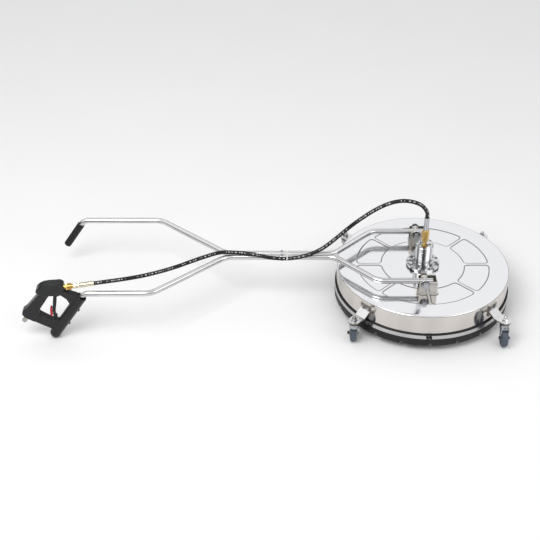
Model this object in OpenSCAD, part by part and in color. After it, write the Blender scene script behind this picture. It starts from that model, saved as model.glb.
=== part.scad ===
// Hard-surface cleaner: a round stainless bell on four swivel casters, a rotary spray bar
// inside it, a hinged twin-tube handle and a trigger gun on the near handle horn.
// Millimetres. +Z is up, the handle runs towards -X, and z = 0 is the floor.

/* [Deck] */
// Outer radius of the bell's side wall
deck_r = 375; // [365:1:378]
// Height of the bell's top plate above the floor
deck_top = 181; // [180:0.5:182]
// Thickness of the bell's sheet
sheet = 3; // [2.5:0.1:3.2]
// Height of the bell's lower edge above the floor
wall_bottom = 66; // [64:1:70]
// Height of the rubber skirt's lower edge above the floor
skirt_bottom = 31; // [20:1:40]
// Number of water notches round the skirt
notch_count = 20; // [12:1:24]
// Number of pressed panels in the top plate
panel_count = 8; // [6:1:12]

/* [Casters] */
// Distance from the bell's axis to each caster's swivel axis
caster_r = 448; // [446:1:455]
// Radius of the caster wheels
wheel_r = 37.5; // [36:0.5:38]
// Width of the caster wheels
wheel_w = 25; // [22:1:26]
// Horizontal offset of a wheel's axle from its swivel axis
trail = 18; // [14:1:19]

/* [Handle] */
// Outer diameter of the handle tubes
tube_od = 25; // [24:0.2:25]
// Inner diameter of the handle tubes
tube_id = 21; // [20.9:0.1:22]
// Height of the handle tubes above the floor
tube_z = 228; // [227:0.5:230]
// Distance from the centre plane to a tube at the hinge
fork_half = 188; // [186:0.5:190]
// Distance from the centre plane to a tube at the hands
horn_half = 277; // [270:1:285]
// Downward slope of the grip ends
grip_slope = 56; // [56:1:56]

/* [Hose] */
// Outer diameter of the hose
hose_od = 17; // [14:0.5:17]

/* [Hidden] */

$fn = 64;
eps = 0.01;
// radial clearance of a running fit, and the gap left between parts that only pass each other
run_fit = 0.05;
gap = 0.3;

// colours
steel = "#d9dcdf";
zinc = "#b9bec2";
brass = "#c9a24a";
rubber = "#1c1c1d";
plastic = "#2b2b2d";
tyre_grey = "#3d4550";
latch_red = "#c4202c";

// bell
edge_r = 6;
rib_w = 14;
panel_r0 = 181;
panel_r1 = 288;
panel_depth = 1.2;
deck_hole_r = 31;
skirt_t = 6;
skirt_top = 90;
notch_w = 18;
notch_h = 14;
band_t = 1.4;
band_z0 = 68;
band_z1 = 86;
skirt_r = deck_r + skirt_t;
band_r = skirt_r + band_t;

// yoke
yoke_t = 5;
yoke_half_x = 44;
yoke_half_y = 224;
yoke_top = deck_top + yoke_t;
channel_half = 28;
channel_t = 4;
channel_h = 54;
channel_x0 = -40;
channel_x1 = 36;
hinge_x = -15;
pin_r = 8;

// swivel
flange_r = 72;
flange_t = 10;
step_r = 46;
step_t = 8;
housing_r = 39;
housing_top = 286;
cap_top = 294;
shaft_r = 12.5;
bearing_od_r = 26;
bearing_w = 15;
bearing_z = [202, 246];
ball_ring_r = 19.25;
ball_r = 3.55;
groove_r = 3.9;
bolt_circle_r = 58;
flow_r = 5;

// rotor
rotor_turn = 32;
hub_r = 25;
hub_z0 = 92;
hub_z1 = 134;
arm_z = 112;
arm_r = 8.6;
arm_reach = 322;

// caster parts
tab_z = 112;
tab_t = 5;
stem_r = 6;
axle_r = 4;
crown_z0 = 84;
crown_z1 = 96;
fork_gap = wheel_w / 2 + 1.2;
fork_t = 3;

// handle
pair_half = 12.8;
lap = 0.5;
thinned = 0.1;
fork_bend_r = 75;
fork_angle = 45;
fork_corner = 214;
joint_x = 645;
spigot_len = 70;
horn_bend_r = 90;
horn_angle = 41;
horn_corner = 860;
hand_bend_r = 45;
near_corner = 1445;
far_corner = 1518;
stub_len = 33;
sleeve_r = 10.5;
clamp_x = -618;
tie_x = -598;

// gun: its own origin is the centre of the socket's round end
socket_r = 23.5;
gun_t = (tube_z - socket_r) / sin(grip_slope);
gun_x = -near_corner - gun_t * cos(grip_slope);
socket_len = 228;
trigger_pin = [25, 234];
latch_pin = [-4, 158];
plunger_u = 11;
plunger_z = 244.6;
chain_yaw = 6;
chain_rise = 4.8;
inlet_at = [-113, 106];
inlet_r = 10.5;
inlet_stub = 25;

// The frame's origin is under the middle of the whole object: the bell's axis stands at deck_x
gun_reach = -gun_x - inlet_at[0] + inlet_stub * cos(grip_slope) + inlet_r * sin(grip_slope);
deck_x = (gun_reach - band_r) / 2;

// directions of the four casters, and the way each wheel trails at rest
caster_dirs = [225, 315, 135, 45];
caster_trails = [90, 270, 30, 150];

// route of the hose's centre line, from the deck ferrule to the gun ferrule
hose_route = [
  [0, 0, 424], [-1, 0, 445], [-12, 0, 468], [-34, -1, 490], [-66, -2, 504], [-105, -3, 510],
  [-145, -3, 504], [-185, -3, 488], [-228, -3, 462], [-268, -3, 431], [-312, -3, 393],
  [-352, -4, 354], [-396, -8, 312], [-440, -15, 277], [-485, -24, 256], [-528, -31, 244],
  [-570, -34, 237], [-610, -34.5, 235], [-660, -34, 238], [-708, -29, 245], [-752, -21, 250],
  [-797, -14, 251], [-842, -11, 251.5], [-888, -14, 252], [-947, -45, 253], [-1003, -82, 255],
  [-1064, -124, 257], [-1128, -163, 260], [-1197, -200, 265], [-1268, -230, 270],
  [-1340, -252, 273], [-1398.5, -264.6, 272]
];

function unit(v) = v / norm(v);

// arc that rounds corner b of the corner a, b, c with radius r
function corner_arc(a, b, c, r, n = 5) =
  let (
    u = unit(a - b),
    v = unit(c - b),
    half = acos(u * v) / 2,
    centre = b + unit(u + v) * r / sin(half),
    p = b + u * r / tan(half) - centre,
    q = b + v * r / tan(half) - centre,
    a0 = atan2(p[1], p[0]),
    turn = (atan2(q[1], q[0]) - a0 + 540) % 360 - 180
  )
  [for (i = [0:n]) centre + r * [cos(a0 + turn * i / n), sin(a0 + turn * i / n)]];

// outline with every corner rounded: each point is [x, y, corner radius]
function rounded(pts) =
  let (m = len(pts), xy = [for (p = pts) [p[0], p[1]]])
  [for (i = [0:m - 1]) each corner_arc(xy[(i + m - 1) % m], xy[i], xy[(i + 1) % m], pts[i][2])];

// moves the bell's own coordinates to the frame
module placed() { translate([deck_x, 0, 0]) children(); }

// one copy on each side of the centre plane
module both_sides() {
  children();
  mirror([0, 1, 0]) children();
}

module ring(r_in, r_out, h) {
  difference() {
    cylinder(r = r_out, h = h);
    translate([0, 0, -1]) cylinder(r = r_in, h = h + 2);
  }
}

module hexagon(across, h) { cylinder(r = across / sqrt(3), h = h, $fn = 6); }

// hex head bolt: the head stands on z = 0 and the shank goes down
module hex_bolt(r, across, head, length) {
  hexagon(across, head);
  translate([0, 0, -length]) cylinder(r = r, h = length + eps);
}

module hex_nut(r, across, h) {
  difference() {
    hexagon(across, h);
    translate([0, 0, -1]) cylinder(r = r, h = h + 2);
  }
}

// ---------------------------------------------------------------- bell

// Outline of the bell: top plate, rounded edge and side wall
function bell_profile() = concat(
  [[deck_hole_r, deck_top], [deck_hole_r, deck_top - sheet],
   [deck_r - edge_r, deck_top - sheet]],
  [for (i = [1:4]) [deck_r - edge_r + (edge_r - sheet) * sin(22.5 * i),
                    deck_top - edge_r + (edge_r - sheet) * cos(22.5 * i)]],
  [[deck_r - sheet, wall_bottom], [deck_r, wall_bottom]],
  [for (i = [0:4]) [deck_r - edge_r + edge_r * cos(22.5 * i),
                    deck_top - edge_r + edge_r * sin(22.5 * i)]]
);

module deck_shell() {
  panel_step = 360 / panel_count;
  mid_r = (panel_r0 + panel_r1) / 2;
  half_rib = asin(rib_w / 2 / mid_r);
  color(steel) placed()
    difference() {
      rotate_extrude($fn = 180) polygon(bell_profile());
      for (i = [0:panel_count - 1])
        rotate([0, 0, i * panel_step + half_rib])
          rotate_extrude(angle = panel_step - 2 * half_rib, $fn = 180)
            translate([panel_r0, deck_top - panel_depth])
              square([panel_r1 - panel_r0, 5]);
      for (i = [0:3])
        rotate([0, 0, caster_dirs[i]])
          for (s = [-1, 1])
            translate([deck_r - 10, s * 15, 150]) rotate([0, 90, 0]) cylinder(r = 4.2, h = 20);
      for (a = [45:90:315])
        rotate([0, 0, a]) translate([bolt_circle_r, 0, deck_top - 10]) cylinder(r = 5.2, h = 20);
    }
}

module rubber_skirt() {
  color(rubber) placed()
    difference() {
      translate([0, 0, skirt_bottom])
        difference() {
          cylinder(r = skirt_r, h = skirt_top - skirt_bottom, $fn = 180);
          translate([0, 0, -1]) cylinder(r = deck_r, h = skirt_top - skirt_bottom + 2, $fn = 180);
        }
      for (i = [0:notch_count - 1])
        rotate([0, 0, -90 + i * 360 / notch_count])
          translate([deck_r - 10, 0, skirt_bottom])
            rotate([90, 0, 90])
              linear_extrude(30)
                polygon([[-notch_w / 2, -1], [notch_w / 2, -1],
                         [notch_w / 2 - 4, notch_h], [4 - notch_w / 2, notch_h]]);
    }
}

module skirt_band() {
  color(steel) placed()
    translate([0, 0, band_z0])
      difference() {
        ring(skirt_r, band_r, band_z1 - band_z0, $fn = 180);
        rotate([0, 0, -91]) translate([skirt_r - 5, -1.5, -1]) cube([20, 3, 30]);
      }
}

// Screw that draws the band's two ends together at the front
module band_screw() {
  color(rubber) placed()
    rotate([0, 0, -91])
      translate([band_r + 4.2, 0, 77]) {
        for (s = [-1, 1])
          translate([-4.2, s * 6 - 1.5, -7]) cube([8, 3, 14]);
        rotate([90, 0, 0]) translate([0, 0, -4.6]) cylinder(r = 2.4, h = 9.2);
        translate([0, -7.5, 0]) rotate([90, 0, 0]) cylinder(r = 4, h = 5);
        translate([0, 7.5, 0]) rotate([-90, 0, 0]) hexagon(7, 4);
      }
}

// ---------------------------------------------------------------- yoke and hinge

module yoke_plate() {
  cut = 12;
  color(steel) placed()
    translate([0, 0, deck_top])
      difference() {
        linear_extrude(yoke_t)
          polygon([[-yoke_half_x, cut - yoke_half_y], [cut - yoke_half_x, -yoke_half_y],
                   [yoke_half_x - cut, -yoke_half_y], [yoke_half_x, cut - yoke_half_y],
                   [yoke_half_x, yoke_half_y - cut], [yoke_half_x - cut, yoke_half_y],
                   [cut - yoke_half_x, yoke_half_y], [-yoke_half_x, yoke_half_y - cut]]);
        translate([0, 0, -1]) cylinder(r = deck_hole_r, h = yoke_t + 2);
        for (a = [45:90:315])
          rotate([0, 0, a]) translate([bolt_circle_r, 0, -1]) cylinder(r = 5.2, h = 20);
      }
}

// Two upright U-channels that carry the handle's hinge, open at the top and towards the handle
module yoke_brackets() {
  length = channel_x1 - channel_x0;
  inner = channel_half - channel_t;
  color(steel) placed()
    both_sides()
      translate([0, -fork_half, yoke_top])
        difference() {
          translate([channel_x0, -channel_half, 0]) cube([length, 2 * channel_half, channel_h]);
          translate([channel_x0 - 1, -inner, channel_t])
            cube([length + 1 - channel_t, 2 * inner, channel_h]);
          translate([hinge_x, 0, tube_z - yoke_top]) rotate([90, 0, 0])
            translate([0, 0, -50]) cylinder(r = pin_r + run_fit, h = 100);
        }
}

// Turns a part that stands on the hinge axis so that its +Z points outwards
module on_hinge() {
  placed() both_sides() translate([hinge_x, -fork_half, tube_z]) rotate([90, 0, 0]) children();
}

module pivot_bolts() {
  washer = 3;
  color(zinc) on_hinge() {
    translate([0, 0, channel_half + washer]) {
      cylinder(r = 17, h = 3);
      translate([0, 0, 3]) hexagon(26, 10);
    }
    translate([0, 0, -channel_half - 19]) cylinder(r = pin_r, h = 2 * channel_half + 22 + eps);
  }
}

module pivot_nuts() {
  color(zinc) on_hinge()
    translate([0, 0, -channel_half - 3 - 13]) hex_nut(pin_r, 24, 13);
}

module pivot_washers() {
  color(zinc) on_hinge() {
    translate([0, 0, channel_half]) ring(pin_r + 0.2, 19, 3);
    translate([0, 0, -channel_half - 3]) ring(pin_r + 0.2, 17, 3);
  }
}

module pivot_bushes() {
  inner = channel_half - channel_t;
  bush = 1.7;
  color("#e8e6dc") on_hinge() {
    translate([0, 0, inner - bush]) ring(pin_r + 0.2, 14, bush);
    translate([0, 0, -inner]) ring(pin_r + 0.2, 14, bush);
  }
}

// ---------------------------------------------------------------- rotary swivel

module swivel_flange() {
  color(steel) placed()
    translate([0, 0, yoke_top])
      difference() {
        union() {
          cylinder(r = flange_r, h = flange_t);
          cylinder(r = step_r, h = flange_t + step_t);
        }
        translate([0, 0, -1]) cylinder(r = shaft_r + 1.5, h = 30);
        translate([0, 0, flange_t]) cylinder(r = housing_r, h = 30);
        for (a = [45:90:315])
          rotate([0, 0, a]) translate([bolt_circle_r, 0, -1]) cylinder(r = 5.2, h = 30);
      }
}

module flange_bolts() {
  under = deck_top - sheet;
  grip_h = yoke_top + flange_t - under;
  color(zinc) placed()
    for (a = [45:90:315])
      rotate([0, 0, a]) translate([bolt_circle_r, 0, yoke_top + flange_t]) {
        hex_bolt(5, 17, 7, grip_h + 10);
        translate([0, 0, -grip_h - 8]) hex_nut(5, 17, 8);
      }
}

module swivel_housing() {
  base = yoke_top + flange_t;
  color(steel) placed()
    difference() {
      union() {
        translate([0, 0, base]) cylinder(r = housing_r, h = housing_top - base - 2);
        translate([0, 0, housing_top - 2]) cylinder(r1 = housing_r, r2 = housing_r - 2, h = 2);
      }
      translate([0, 0, base - 1]) cylinder(r = shaft_r + 1.5, h = 200);
      translate([0, 0, bearing_z[0] - 1]) cylinder(r = bearing_od_r, h = 100);
    }
}

module swivel_cap() {
  seat = bearing_z[1] + bearing_w + 1;
  color(steel) placed()
    difference() {
      union() {
        translate([0, 0, seat]) cylinder(r = bearing_od_r, h = housing_top - seat);
        translate([0, 0, housing_top]) cylinder(r = housing_r - 3, h = cap_top - housing_top);
      }
      translate([0, 0, seat - 1]) cylinder(r = 20, h = 9);
      translate([0, 0, seat]) cylinder(r = shaft_r + 1.5, h = 16);
      cylinder(r = 8, h = 400);
    }
}

module bearing_race(r0, r1) {
  for (z = bearing_z)
    translate([0, 0, z])
      rotate_extrude()
        difference() {
          translate([r0, 0]) square([r1 - r0, bearing_w]);
          translate([ball_ring_r, bearing_w / 2]) circle(r = groove_r);
        }
}

module bearing_outer_rings() { color(zinc) placed() bearing_race(22, bearing_od_r - 0.02); }

module shaft_seals() {
  color(rubber) placed() {
    translate([0, 0, bearing_z[1] + bearing_w + 1.2]) ring(shaft_r + 0.06, 19.8, 6);
    translate([0, 0, bearing_z[0] + bearing_w + 3]) ring(shaft_r + 0.06, bearing_od_r - 0.1, 6);
  }
}

module inlet_adapter() {
  color(brass) placed()
    difference() {
      union() {
        translate([0, 0, cap_top - 12]) cylinder(r = 8, h = 14);
        translate([0, 0, cap_top]) cylinder(r = 9, h = 15 + eps);
        translate([0, 0, cap_top + 15]) hexagon(27, 14);
        translate([0, 0, cap_top + 29 - eps]) cylinder(r = 9, h = 18);
      }
      cylinder(r = flow_r, h = 400);
    }
}

module hose_nut() {
  color(brass) placed()
    translate([0, 0, cap_top + 29.2])
      difference() {
        union() {
          hexagon(28, 34);
          cylinder(r = 14, h = 38.8);
        }
        translate([0, 0, -1]) cylinder(r = 9.1, h = 20);
        cylinder(r = flow_r, h = 100);
      }
}

module crimped_ferrule(h) {
  difference() {
    cylinder(r = 11, h = h);
    for (z = [0.2 * h, 0.4 * h, 0.6 * h, 0.8 * h])
      translate([0, 0, z - 2]) ring(10.2, 20, 4);
    translate([0, 0, -1]) cylinder(r = flow_r, h = h + 2);
  }
}

module deck_ferrule() {
  color(zinc) placed() translate([0, 0, 362]) crimped_ferrule(61.8);
}

// ---------------------------------------------------------------- rotor

module on_rotor() { placed() rotate([0, 0, rotor_turn]) children(); }

module rotor_shaft() {
  top = bearing_z[1] + bearing_w + 12;
  color(steel) on_rotor()
    difference() {
      union() {
        translate([0, 0, arm_z + 12]) cylinder(r = shaft_r, h = top - arm_z - 12);
        translate([0, 0, 183]) cylinder(r = shaft_r + 1.2, h = 14);
      }
      translate([0, 0, arm_z - 1]) cylinder(r = flow_r, h = 200);
    }
}

module bearing_inner_rings() { color(zinc) on_rotor() bearing_race(shaft_r, 16.5); }

module bearing_balls() {
  color(zinc) on_rotor()
    for (z = bearing_z, a = [0:40:320])
      rotate([0, 0, a]) translate([ball_ring_r, 0, z + bearing_w / 2]) sphere(r = ball_r, $fn = 24);
}

module rotor_hub() {
  color(steel) on_rotor()
    difference() {
      union() {
        translate([0, 0, hub_z0]) cylinder(r = hub_r, h = hub_z1 - hub_z0);
        translate([0, 0, hub_z1 - eps]) cylinder(r = 19, h = 22);
        translate([0, 0, hub_z0 - 10]) hexagon(24, 10 + eps);
      }
      translate([0, 0, arm_z + 12]) cylinder(r = shaft_r, h = 100);
      translate([0, 0, arm_z - 2]) cylinder(r = flow_r, h = 100);
      translate([-60, 0, arm_z]) rotate([0, 90, 0]) cylinder(r = flow_r, h = 120);
      for (s = [0, 180])
        rotate([0, 0, s]) translate([12, 0, arm_z]) rotate([0, 90, 0]) cylinder(r = arm_r, h = 40);
    }
}

module spray_arms() {
  color(steel) on_rotor()
    for (s = [0, 180])
      rotate([0, 0, s]) translate([12, 0, arm_z]) rotate([0, 90, 0])
        ring(flow_r, arm_r, arm_reach - 12);
}

module nozzle_elbows() {
  color(zinc) on_rotor()
    for (s = [0, 180])
      rotate([0, 0, s]) translate([arm_reach - 12, 0, arm_z])
        difference() {
          union() {
            rotate([0, 90, 0]) cylinder(r = 13, h = 38);
            translate([24, 0, -22]) cylinder(r = 9, h = 22);
          }
          translate([-1, 0, 0]) rotate([0, 90, 0]) cylinder(r = arm_r, h = 13);
          translate([-1, 0, 0]) rotate([0, 90, 0]) cylinder(r = 4, h = 25);
          translate([24, 0, -30]) cylinder(r = 4, h = 30);
        }
}

module nozzles() {
  color(brass) on_rotor()
    for (s = [0, 180])
      rotate([0, 0, s]) translate([arm_reach + 12, 0, arm_z - 22])
        difference() {
          union() {
            translate([0, 0, -8]) hexagon(14, 8);
            translate([0, 0, -14]) cylinder(r1 = 4, r2 = 6, h = 6 + eps);
          }
          translate([0, 0, -20]) cylinder(r = 1.2, h = 40);
          translate([0, 0, -3]) cylinder(r = 4, h = 10);
        }
}

// ---------------------------------------------------------------- casters

// Bent plate that carries one caster: flange on the wall, sloping web and round-ended tab
module caster_arm() {
  side = [[deck_r - 4, 112], [deck_r + 5, 112], [deck_r + 5, 132],
          [deck_r + 34, tab_z], [caster_r, tab_z], [caster_r, tab_z + tab_t],
          [deck_r + 36, tab_z + tab_t], [deck_r + 5, 140], [deck_r + 5, 166], [deck_r - 4, 166]];
  difference() {
    union() {
      rotate([90, 0, 0]) translate([0, 0, -25]) linear_extrude(50) polygon(side);
      translate([caster_r, 0, tab_z]) cylinder(r = 25, h = tab_t);
    }
    translate([0, 0, 90]) cylinder(r = deck_r, h = 100, $fn = 180);
    translate([caster_r, 0, tab_z - 1]) cylinder(r = stem_r + 0.3, h = tab_t + 2);
    for (s = [-1, 1])
      translate([deck_r - 10, s * 15, 150]) rotate([0, 90, 0]) cylinder(r = 4.2, h = 30);
  }
}

module caster_arms() {
  color(steel) placed()
    for (i = [0:3]) rotate([0, 0, caster_dirs[i]]) caster_arm();
}

module arm_bolts() {
  color(zinc) placed()
    for (i = [0:3], s = [-1, 1])
      rotate([0, 0, caster_dirs[i]])
        translate([deck_r + 5, s * 15, 150]) rotate([0, 90, 0]) {
          hex_bolt(4, 13, 5.5, 22);
          translate([0, 0, -8 - 7 - 0.6]) hex_nut(4, 13, 7);
        }
}

// Fixed stem of each caster: head under the crown, upper race and thread through the tab
module caster_stems() {
  color(zinc) placed()
    for (i = [0:3])
      rotate([0, 0, caster_dirs[i]]) translate([caster_r, 0, 0]) {
        translate([0, 0, 78.5]) cylinder(r = 10, h = 5);
        translate([0, 0, 83]) cylinder(r = stem_r, h = 48);
        translate([0, 0, crown_z1 + gap]) cylinder(r = 20, h = 4);
        translate([0, 0, crown_z1 + 4]) hexagon(24, tab_z - crown_z1 - 4);
      }
}

module dome_nuts() {
  color(steel) placed()
    for (i = [0:3])
      rotate([0, 0, caster_dirs[i]]) translate([caster_r, 0, tab_z + tab_t])
        difference() {
          union() {
            cylinder(r = 14, h = 2);
            translate([0, 0, 2]) hexagon(19, 10);
            translate([0, 0, 12]) cylinder(r = 8.6, h = 2);
            translate([0, 0, 14]) intersection() {
              sphere(r = 8.6);
              cylinder(r = 10, h = 10);
            }
          }
          translate([0, 0, -1]) cylinder(r = stem_r, h = 16);
        }
}

// Places a part in a caster's own frame: the swivel axis is Z and the wheel trails to +X
module on_caster(i) {
  placed()
    translate([caster_r * cos(caster_dirs[i]), caster_r * sin(caster_dirs[i]), 0])
      rotate([0, 0, caster_trails[i]]) children();
}

module caster_fork(i) {
  color(zinc) on_caster(i)
    difference() {
      union() {
        translate([0, 0, crown_z0]) cylinder(r = 20, h = crown_z1 - crown_z0);
        translate([-12, -fork_gap - fork_t, crown_z0 - eps])
          cube([38, 2 * (fork_gap + fork_t), 4]);
        for (s = [-1, 1])
          translate([0, s * (fork_gap + fork_t / 2), 0]) rotate([90, 0, 0])
            translate([0, 0, -fork_t / 2]) linear_extrude(fork_t)
              polygon(rounded([[-12, 88, 2], [26, 88, 2], [31, 37, 8], [trail, 24, 8],
                               [6, 36, 8]]));
      }
      translate([0, 0, 60]) cylinder(r = stem_r + run_fit, h = 60);
      translate([0, 0, 60]) cylinder(r = 10 + gap, h = crown_z0 - 60 - 0.2);
      translate([trail, 50, wheel_r]) rotate([90, 0, 0]) cylinder(r = axle_r, h = 100);
    }
}

module caster_axle(i) {
  outside = fork_gap + fork_t;
  color(zinc) on_caster(i)
    translate([trail, 0, wheel_r]) rotate([90, 0, 0]) {
      translate([0, 0, outside]) hex_bolt(axle_r, 13, 5, 2 * outside + 8);
      translate([0, 0, -outside - 6.5]) hex_nut(axle_r, 13, 6.5);
    }
}

module caster_wheel(i) {
  shoulder = 3;
  half = wheel_w / 2;
  color(tyre_grey) on_caster(i)
    translate([trail, 0, wheel_r]) rotate([90, 0, 0])
      rotate_extrude($fn = 96)
        polygon([[axle_r + run_fit, -half - 0.8], [11, -half - 0.8], [13, -half + 3],
                 [26, -half + 3], [27, -half], [wheel_r - shoulder, -half],
                 [wheel_r, -half + shoulder], [wheel_r, half - shoulder],
                 [wheel_r - shoulder, half], [27, half], [26, half - 3], [13, half - 3],
                 [11, half + 0.8], [axle_r + run_fit, half + 0.8]]);
}

module fork_fl() { caster_fork(0); }
module fork_fr() { caster_fork(1); }
module fork_bl() { caster_fork(2); }
module fork_br() { caster_fork(3); }
module axle_fl() { caster_axle(0); }
module axle_fr() { caster_axle(1); }
module axle_bl() { caster_axle(2); }
module axle_br() { caster_axle(3); }
module wheel_fl() { caster_wheel(0); }
module wheel_fr() { caster_wheel(1); }
module wheel_bl() { caster_wheel(2); }
module wheel_br() { caster_wheel(3); }

// ---------------------------------------------------------------- handle

// Straight stretches joined by bends. A step is [length, bend radius, bend angle, roll]: the run
// goes along +X, and the bend after it turns left once rolled about the run. The bending thins
// the wall a little, and each straight reaches a short way over its bends
module tube_run(steps, i = 0) {
  step = steps[i];
  last = i + 1 == len(steps);
  back = i > 0 ? lap : 0;
  translate([-back, 0, 0]) rotate([0, 90, 0])
    ring(tube_id / 2, tube_od / 2, step[0] + back + (last ? 0 : lap));
  if (!last)
    translate([step[0], 0, 0]) rotate([step[3], 0, 0]) {
      translate([0, step[1], 0]) rotate([0, 0, -90])
        rotate_extrude(angle = step[2]) translate([step[1], 0])
          difference() {
            circle(r = tube_od / 2 - thinned, $fn = 32);
            circle(r = tube_id / 2 + thinned, $fn = 32);
          }
      translate([step[1] * sin(step[2]), step[1] * (1 - cos(step[2])), 0])
        rotate([0, 0, step[2]]) rotate([-step[3], 0, 0]) tube_run(steps, i + 1);
    }
}

function tangent(r, angle) = r * tan(angle / 2);

// One side of the fork, as seen from above on the near side, drawn towards -X
module fork_tube() {
  cut = tangent(fork_bend_r, fork_angle);
  rise = fork_half - pair_half;
  pair_corner = fork_corner + rise / tan(fork_angle);
  difference() {
    mirror([1, 0, 0])
      translate([-hinge_x - stub_len, -fork_half, tube_z])
        tube_run([
          [fork_corner + hinge_x + stub_len - cut, fork_bend_r, fork_angle, 0],
          [rise / sin(fork_angle) - 2 * cut, fork_bend_r, fork_angle, 180],
          [joint_x - pair_corner - cut]
        ]);
    translate([hinge_x, 0, tube_z]) rotate([90, 0, 0]) cylinder(r = sleeve_r, h = 400);
    translate([clamp_x, -pair_half, tube_z - 30]) cylinder(r = 3.1, h = 60);
  }
}

module lower_tubes() { color(steel) placed() both_sides() fork_tube(); }

// One horn: a spigot inside the fork tube, then the run out to the hand and down
module horn_tube(corner, end_len) {
  cut = tangent(horn_bend_r, horn_angle);
  hand_cut = tangent(hand_bend_r, grip_slope);
  spread = horn_half - pair_half;
  outer_corner = horn_corner + spread / tan(horn_angle);
  start = joint_x + 0.2;
  difference() {
    mirror([1, 0, 0]) translate([start, -pair_half, tube_z]) {
      tube_run([
        [horn_corner - start - cut, horn_bend_r, horn_angle, 180],
        [spread / sin(horn_angle) - 2 * cut, horn_bend_r, horn_angle, 0],
        [corner - outer_corner - cut - hand_cut, hand_bend_r, grip_slope, -90],
        [end_len - hand_cut]
      ]);
      translate([-spigot_len, 0, 0]) rotate([0, 90, 0])
        difference() {
          union() {
            cylinder(d = tube_id - 0.1, h = spigot_len + 2);
            translate([0, 0, spigot_len + 1]) cylinder(d = tube_id + 1, h = 12);
          }
          translate([0, 0, -1]) cylinder(d = tube_id - 4, h = spigot_len + 20);
        }
    }
    translate([clamp_x, -pair_half, tube_z - 30]) cylinder(r = 3.1, h = 60);
  }
}

module upper_tube_near() { color(steel) placed() horn_tube(near_corner, 172); }

module upper_tube_far() { color(steel) placed() mirror([0, 1, 0]) horn_tube(far_corner, 150); }

// Cross tubes welded into the fork ends: they turn on the pivot bolts
module pivot_sleeves() {
  half = channel_half - channel_t - 2;
  color(steel) on_hinge()
    translate([0, 0, -half]) ring(pin_r + run_fit, sleeve_r, 2 * half);
}

module joint_bolts() {
  seat = tube_od / 2;
  color(zinc) placed()
    both_sides()
      translate([clamp_x, -pair_half, tube_z]) {
        translate([0, 0, seat]) hex_bolt(3, 10, 4, 2 * seat + 6);
        translate([0, 0, -seat - 5]) hex_nut(3, 10, 5);
      }
}

// Outline round the two tubes and the hose where they are tied, grown by a margin
module tied_bundle(margin) {
  hull() {
    for (s = [-1, 1]) translate([s * pair_half, tube_z]) circle(r = tube_od / 2 + margin, $fn = 32);
    translate([-34.5, 235]) circle(r = hose_od / 2 + margin, $fn = 32);
  }
}

module cable_tie() {
  wall = 1.2;
  color("#eceae2") placed()
    translate([tie_x, 0, 0]) rotate([90, 0, 90])
      linear_extrude(4.6) difference() {
        tied_bundle(gap + wall);
        tied_bundle(gap);
      }
}

// Places a part on a horn's sloping end: +Z runs up along the tube's axis, towards the bend
module on_horn(corner, side) {
  placed() translate([-corner, side * horn_half, tube_z]) rotate([0, 90 - grip_slope, 0]) children();
}

module far_grip() {
  reach = 158;
  top = 24;
  color(rubber) on_horn(far_corner, 1)
    difference() {
      union() {
        translate([0, 0, 4 - reach]) cylinder(r = 16.5, h = reach - 4 - top);
        translate([0, 0, -reach]) cylinder(r1 = 13, r2 = 16.5, h = 4 + eps);
        translate([0, 0, -top - 6]) cylinder(r = 17.5, h = 6);
      }
      translate([0, 0, -150.2]) cylinder(r = tube_od / 2, h = 160);
    }
}

// ---------------------------------------------------------------- hose

// Smooth curve through the route's points
function spline_at(p0, p1, p2, p3, t) =
  0.5 * (2 * p1 + (p2 - p0) * t + (2 * p0 - 5 * p1 + 4 * p2 - p3) * t * t
         + (3 * p1 - p0 - 3 * p2 + p3) * t * t * t);

function spline(pts, per) =
  let (m = len(pts) - 1)
  concat(
    [for (i = [0:m - 1], k = [0:per - 1])
      spline_at(pts[max(i - 1, 0)], pts[i], pts[i + 1], pts[min(i + 2, m)], k / per)],
    [pts[m]]
  );

// Frame carried along the curve without twist: each entry is the ring's side vector
function carried(dirs, i, v) =
  let (w = unit(v - dirs[i] * (v * dirs[i])))
  i == len(dirs) - 1 ? [w] : concat([w], carried(dirs, i + 1, w));

module swept_tube(line, r, sides) {
  m = len(line) - 1;
  dirs = [for (i = [0:m])
    i == 0 ? [0, 0, 1]
    : i == m ? [-cos(chain_rise) * cos(chain_yaw), -cos(chain_rise) * sin(chain_yaw),
                -sin(chain_rise)]
    : unit(line[i + 1] - line[i - 1])];
  u = carried(dirs, 0, [0, 1, 0]);
  points = [for (i = [0:m], k = [0:sides - 1])
    line[i] + r * (u[i] * cos(360 * k / sides) + cross(dirs[i], u[i]) * sin(360 * k / sides))];
  faces = concat(
    [[for (k = [sides - 1:-1:0]) k]],
    [for (i = [0:m - 1], k = [0:sides - 1])
      [i * sides + k, i * sides + (k + 1) % sides,
       (i + 1) * sides + (k + 1) % sides, (i + 1) * sides + k]],
    [[for (k = [0:sides - 1]) m * sides + k]]
  );
  polyhedron(points = points, faces = [for (f = faces) [for (k = [len(f) - 1:-1:0]) f[k]]]);
}

module hose() { color(rubber) placed() swept_tube(spline(hose_route, 2), hose_od / 2, 12); }

// ---------------------------------------------------------------- gun

// Gun frame: X and Z as the object's, origin at the centre of the socket's round end
module on_gun() { placed() translate([gun_x, -horn_half, socket_r]) children(); }

// Plate of the gun: an outline in the gun's X and height over the floor, centred on its middle
module gun_plate(outline, depth) {
  translate([0, depth / 2, -socket_r]) rotate([90, 0, 0]) linear_extrude(depth) polygon(outline);
}

// Turns +Z to the slope of the socket and of the pistol grip
module sloped() { rotate([0, 90 - grip_slope, 0]) children(); }

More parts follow.
